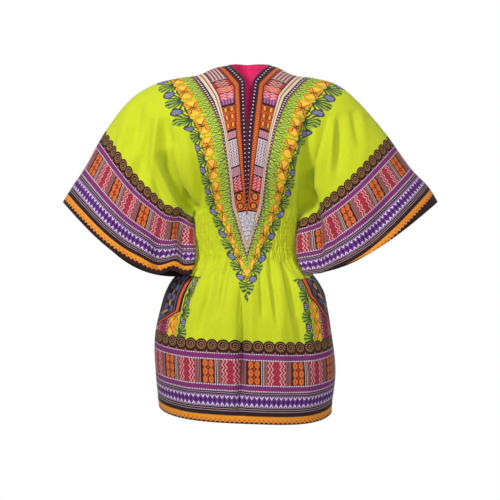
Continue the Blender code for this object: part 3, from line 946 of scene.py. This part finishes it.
def garland(colour, along, over):
    """Blossoms and leaf sprays on a greener ground, outside the rails. Noise moves them a few
    millimetres, as hand-cut blocks print unevenly."""
    wobble = add("TexNoise", add("UVMap", uv_map="neck"), None, 0.09, 1)
    along = add("MULTIPLY_ADD", wobble, 9, add("SUBTRACT", along, 4.5))
    fringe = nearest(along, LEAFLET)
    bloom = nearest(along, BLOSSOM, 18)
    petal = add("SUBTRACT", add("ABSOLUTE", bloom), 12.5)
    from_bloom = add("MULTIPLY_ADD", wobble, 12, add("SUBTRACT", over, 96))
    from_spray = add("SUBTRACT", over, 115)
    spray, bud = nearest(along, BLOSSOM, 42), nearest(along, BLOSSOM, 16)
    stem = add("MULTIPLY", nearest(bloom, 60), 0.55)
    return overprint(
        colour,
        ("b6cb34", band(over, 58.4, 78)),
        (FERN, oval(fringe, add("SUBTRACT", over, 67), 4.1, 8.4)),
        ("b8cc48", oval(fringe, add("SUBTRACT", over, 67.5), 2, 6)),
        (FERN, band(nearest(along, 6.5), -0.9, 0.9), band(over, 76, 80)),
        (MOSS, oval(spray, from_spray, 15, 12)),
        (LEAF, fan(spray, add("SUBTRACT", over, 97), 29)),
        (BOTTLE, oval(bud, from_spray, 9.6, 9.4)),
        (SLATE, oval(bud, from_spray, 8, 8)),
        (MIST, band(nearest(bud, 4), -0.8, 0.8), oval(bud, from_spray, 6.4, 6.4)),
        ("8a5a1c", oval(petal, from_bloom, 12.4, 12)),
        (AMBER, oval(petal, from_bloom, 11.4, 11)),
        (GOLD, oval(add("SUBTRACT", add("ABSOLUTE", bloom), 14), from_bloom, 7, 7.6)),
        (STEM, band(add("SUBTRACT", from_bloom, stem), -0.9, 0.9), oval(bloom, from_bloom, 20, 12)),
        (STEM, band(add("ADD", from_bloom, stem), -0.9, 0.9), oval(bloom, from_bloom, 20, 12)),
        (STEM, band(bloom, -1, 1), band(over, 76, 106)),
    )


print("leaflets", LEAFLET, "mm apart, pairs of blossoms", BLOSSOM)


# %% The whole design round the neck
def neck_design(colour, along, over):
    """Rails from the neck edge outward, the panels between two of them, and the garland."""
    rails = overprint(
        banded(over, 135, RAILS),
        (neck_panels(along, over), band(over, 25, 43)),
        (WHITE, oval(nearest(along, 9.4), add("SUBTRACT", over, 5.6), 1.4, 1.5)),
        ("7a2012", band(nearest(along, 4), -0.75, 0.75), band(over, 12.2, 22.4)),
        (AMBER, band(nearest(along, 4, 2), -0.6, 0.6), band(over, 15, 19.6)),
        (WHITE, oval(nearest(along, 7.4), add("SUBTRACT", over, 54.2), 1.7, 1.1)),
    )
    rails = garland(rails, along, over)
    return overprint(colour, (rails, add("LESS_THAN", over, 129)))


print("the design reaches 129 mm from the neck edge")

# %% [markdown]
# ## The cloth's surface
# Plain-woven cotton is matt, with a faint nap. Its threads are about 0.3 mm apart, finer than a
# pixel here, so the weave is drawn at 1.8 mm. Its thicker threads, the slubs, make streaks about
# 4 mm apart. Between the elastic threads the cloth is crushed into short upright crinkles about
# 3 mm apart, finer than the modelled gathers. On the reverse the dyes show through paler.

# %% Woven cotton
WEAVE, WEAVE_HEIGHT = 1.8 * MM, 0.4 * MM
SLUBS, CRINKLES = 260, 330  # in a metre
NAP = 0.15


def woven(name, colour_of, roughness=0.8, crinkle=0.0, pitch=WEAVE):
    """Matt woven cotton: the product of a sine wave each way, slubs from noise that is stretched
    along Z, and crinkles from noise, full over the shirring and fading out beyond it."""
    material = bpy.data.materials.new(name)
    material.use_nodes = True
    bench["tree"] = material.node_tree
    place = add("TexCoord", out=3)
    slub = add("TexNoise", add("Mapping", place, None, None, (1, 1, 0.25)), None, SLUBS, 3)
    x, y, z = (add("SeparateXYZ", place, out=i) for i in range(3))
    ribs = [add("SINE", add("MULTIPLY", axis, 2 * np.pi / pitch)) for axis in (x, z)]
    weave = add("MULTIPLY", *ribs)
    height = add("MULTIPLY_ADD", slub, 1.5, weave)
    if crinkle:
        crush = add("TexNoise", add("Mapping", place, None, None, (1, 1, 0.16)), None, CRINKLES, 2)
        from_middle = add("ABSOLUTE", add("ADD", z, -sum(SHIRRING) / 2 * MM))
        waist = add("SMOOTH_MAX", from_middle, 0.03, 0.01)
        fade = add("MAXIMUM", add("MULTIPLY_ADD", waist, -25, 1.75), 0)
        height = add("MULTIPLY_ADD", add("MULTIPLY", crush, fade), crinkle, height)
    shader = bench["tree"].nodes["Principled BSDF"]
    tint = add("MULTIPLY_ADD", slub, 0.16, 0.92)
    tint = add("CombineColor", tint, tint, tint)
    multiply = {"data_type": "RGBA", "blend_type": "MULTIPLY"}
    shade = add("Mix", 1.0, *[None] * 5, colour_of(), tint, out=2, **multiply)
    bump = add("Bump", 0.35, WEAVE_HEIGHT, None, height)
    bench["tree"].links.new(shade, shader.inputs["Base Color"])
    bench["tree"].links.new(bump, shader.inputs["Normal"])
    shader.inputs["Roughness"].default_value = roughness
    shader.inputs["Sheen Weight"].default_value = NAP
    shader.inputs["Sheen Roughness"].default_value = 0.5
    shader.inputs["Specular IOR Level"].default_value = 0.25
    return material


print("weave drawn at", WEAVE, "m")


# %% The two sides of the print, and plain colours
def printed():
    """The whole print over the lime ground."""
    border_at = add("UVMap", uv_map="border")
    neck_at = add("UVMap", uv_map="neck")
    along, up = add("SeparateXYZ", border_at), add("SeparateXYZ", border_at, out=1)
    colour = side_strips(dye(LIME), along, up)
    colour = border(colour, along, up)
    return neck_design(colour, add("SeparateXYZ", neck_at), add("SeparateXYZ", neck_at, out=1))


def reverse():
    """The print from the wrong side, paler and nearer to the ground colour. A turned hem shows
    the dark edge of the print's right side."""
    pale = add("Mix", 0.45, *[None] * 5, printed(), dye("c8cc78"), data_type="RGBA", out=2)
    up = add("SeparateXYZ", add("UVMap", uv_map="border"), out=1)
    return overprint(pale, (NIGHT, add("LESS_THAN", up, 2 * HEM_TURN)))


def plain(colour):
    """One colour all over."""
    return lambda: dye(colour)


# %% The materials
printed_cotton = woven("printed_cotton", printed, crinkle=14)
cotton_reverse = woven("cotton_reverse", reverse, crinkle=14)
# The facing's magenta is lighter than the cloth's own dye: painted light that makes up for the
# shade inside the neck.
magenta_cotton_painted_light = woven("magenta_cotton_painted_light", plain("ff2f7c"), 0.7)
TWIST = 0.6 * MM  # the length of one twist of sewing thread
lime_thread = woven("lime_thread", plain("c0cc22"), 0.6, pitch=TWIST)
amber_thread = woven("amber_thread", plain("d8841c"), 0.6, pitch=TWIST)
wine_thread = woven("wine_thread", plain("7a1a3c"), 0.6, pitch=TWIST)
print("nodes in the print:", len(printed_cotton.node_tree.nodes))

# %% The two panels
panels = {}
for name, face in (("front", -1), ("back", 1)):
    halves = [half_panel(side, face) for side in (-1, 1)]
    closed = np.linalg.norm(halves[0][0][:, 0] - halves[1][0][:, 0], axis=1) < 0.5
    middle = (halves[0][2][:, 0] + halves[1][2][:, 0]) / 2
    grids = []
    for side, half in zip((-1, 1), halves):
        half[2][:, 0] = np.where(closed[:, None], middle, half[2][:, 0])
        grids += [(half[2], side * face < 0), (half[5], side * face < 0)]
    border_pairs, neck_pairs = [], []
    for side, half in zip((-1, 1), halves):
        border_pairs += border_map(half[0], half[3], side)
        rails = FRONT_RAILS if face < 0 else BACK_RAILS
        neck_pairs += [neck_map(flat, rails, side) for flat in flat_points(half[0], half[3])]
    piece = sewn_mesh(name, grids, (("border", border_pairs), ("neck", neck_pairs)))
    piece.data.materials.append(printed_cotton)
    piece.data.materials.append(cotton_reverse)
    thickened(piece, CLOTH).modifiers["wall"].material_offset = 1
    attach(piece, "root")
    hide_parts(f"{name}_bodice", f"{name}_waist", f"{name}_skirt")
    panels[name] = (piece, halves)
    print(name, "faces:", len(piece.data.polygons))

# %% [markdown]
# ## The back neck facing
# A plain magenta cloth lies against the inside of the back, round the neck. It is cut to the
# same curve, so it is the top of the back's own grid moved inward.

# %% The facing
FACING_DEPTH, FACING_REACH, FACING_DROP = 1.0, 0.5, 0.5
facing_grids = []
rows = int(BODICE_ROWS * FACING_DROP)
columns = int(BODY_COLUMNS * FACING_REACH)
for side, half in zip((-1, 1), panels["back"][1]):
    inside = (half[2] - half[1] * FACING_DEPTH)[: rows + 1, : columns + 1]
    facing_grids.append((inside, side < 0))
facing = thickened(sewn_mesh("neck_facing", facing_grids), CLOTH)
# The facing takes the lightened magenta, with painted light for the shade inside the neck.
facing.data.materials.append(magenta_cotton_painted_light)
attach(facing, "root")
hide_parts("back_neck_facing")
print("facing faces:", len(facing.data.polygons))

# %% [markdown]
# ## The sewing
# Lockstitches hold the turned hems, a topstitch runs round the neck and its slit, and ten rows of
# stitches hold the elastic threads at the waist. Each stitch is a short thread whose ends sink
# into the cloth.

# %% Stitches
THREAD = 0.28
# columns: distance along a stitch from its middle, in lengths, and radius, in thread radii
STITCH_RINGS = np.array(((-0.5, 0.35), (-0.36, 1), (0.36, 1), (0.5, 0.35)))
STITCH_SIDES = 6


def reached(points, normals, far, distance):
    """The point and the normal on each column of a grid where far, which grows down the column,
    reaches a distance."""

    def at(part, j):
        return [np.interp(distance, far[:, j], part[:, j, k]) for k in range(3)]

    return [np.array([at(part, j) for j in range(far.shape[1])]) for part in (points, normals)]


print("corners of a stitch:", len(STITCH_RINGS) * STITCH_SIDES)


# %% Making stitches
def stitches(name, runs, pitch, length, material):
    """One mesh of stitches, one each pitch along every run of points and normals. Each is a tube:
    rings along its middle line, with a radius times a cosine across and a sine up."""
    turn = np.linspace(0, 2 * np.pi, STITCH_SIDES, endpoint=False)[:, None]
    made = []
    for points, normals in runs:
        far = lengths(points[:, None], 0)[:, 0]
        place = np.arange(pitch, far[-1] - pitch / 2, pitch)[:, None] + STITCH_RINGS[:, 0] * length
        spot, up = (
            np.stack([np.interp(place, far, part[:, k]) for k in range(3)], -1)
            for part in (points, normals)
        )
        ahead = spot[:, -1:] - spot[:, :1]
        ahead = ahead / np.linalg.norm(ahead, axis=-1)[..., None]
        across = np.cross(ahead, up)
        across = (across / np.linalg.norm(across, axis=-1)[..., None])[:, :, None]
        radius = THREAD * STITCH_RINGS[:, 1, None, None]
        around = np.cos(turn) * across + np.sin(turn) * np.cross(across, ahead[:, :, None])
        made.append(spot[:, :, None] + THREAD * 0.4 * up[:, :, None] + radius * around)
    made = np.concatenate(made)
    ring = np.arange(len(STITCH_RINGS) * STITCH_SIDES).reshape(len(STITCH_RINGS), STITCH_SIDES)
    after = np.roll(ring, -1, 1)
    quads = np.stack([ring[:-1], ring[1:], after[1:], after[:-1]], -1).reshape(-1, 4)
    first = np.arange(len(made))[:, None, None] * ring.size
    faces = (quads + first).reshape(-1, 4).tolist()
    faces += (ring[0] + first[:, 0]).tolist() + (ring[-1][::-1] + first[:, 0]).tolist()
    mesh = bpy.data.meshes.new(name)
    mesh.from_pydata((made.reshape(-1, 3) * MM).tolist(), [], faces)
    mesh.shade_smooth()
    mesh.materials.append(material)
    piece = bpy.data.objects.new(name, mesh)
    bpy.context.scene.collection.objects.link(piece)
    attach(piece, "root")
    print(name, len(made), "stitches")


# %% The rows of stitches
# distances in from the edge of a hem, of the neck and of the facing's seam
HEM_STITCH, NECK_STITCH, FACING_SEAM = HEM_TURN - 3, 4, 13
collar = slice(0, int(BODY_COLUMNS * NECK_END) + 1)
inner = []
for name, (_, halves) in panels.items():
    hems, neck, waist = [], [], []
    for _, normal, made, _, sleeve_normal, sleeve_made in halves:
        hems.append(reached(made[::-1], normal[::-1], lengths(made[::-1], 0), HEM_STITCH))
        across, across_normal = np.swapaxes([sleeve_made[:, ::-1], sleeve_normal[:, ::-1]], 1, 2)
        hems.append(reached(across, across_normal, lengths(across, 0), HEM_STITCH))
        top, top_normal = made[:, collar], normal[:, collar]
        neck.append(reached(top, top_normal, lengths(top, 0), NECK_STITCH))
        if name == "front":
            slit = made[:, 0, 2] > SLIT_BOTTOM
            edge, edge_normal = (np.swapaxes(part[slit], 0, 1) for part in (made, normal))
            neck.append(reached(edge, edge_normal, lengths(edge, 0), NECK_STITCH))
        else:
            under = top - top_normal * (FACING_DEPTH + CLOTH)
            inner.append(reached(under, -top_normal, lengths(top, 0), FACING_SEAM))
        low, low_normal = made[BODICE_ROWS:], normal[BODICE_ROWS:]
        for height in np.linspace(*SHIRRING, THREAD_ROWS + 1):
            waist.append(reached(low, low_normal, -low[..., 2], -height))
    stitches(f"{name}_hem_stitches", hems, 3.4, 2.6, amber_thread)
    stitches(f"{name}_neck_stitches", neck, 3, 2.2, wine_thread)
    stitches(f"{name}_waist_stitches", waist, 4, 3, lime_thread)
stitches("facing_stitches", inner, 3, 2.4, wine_thread)
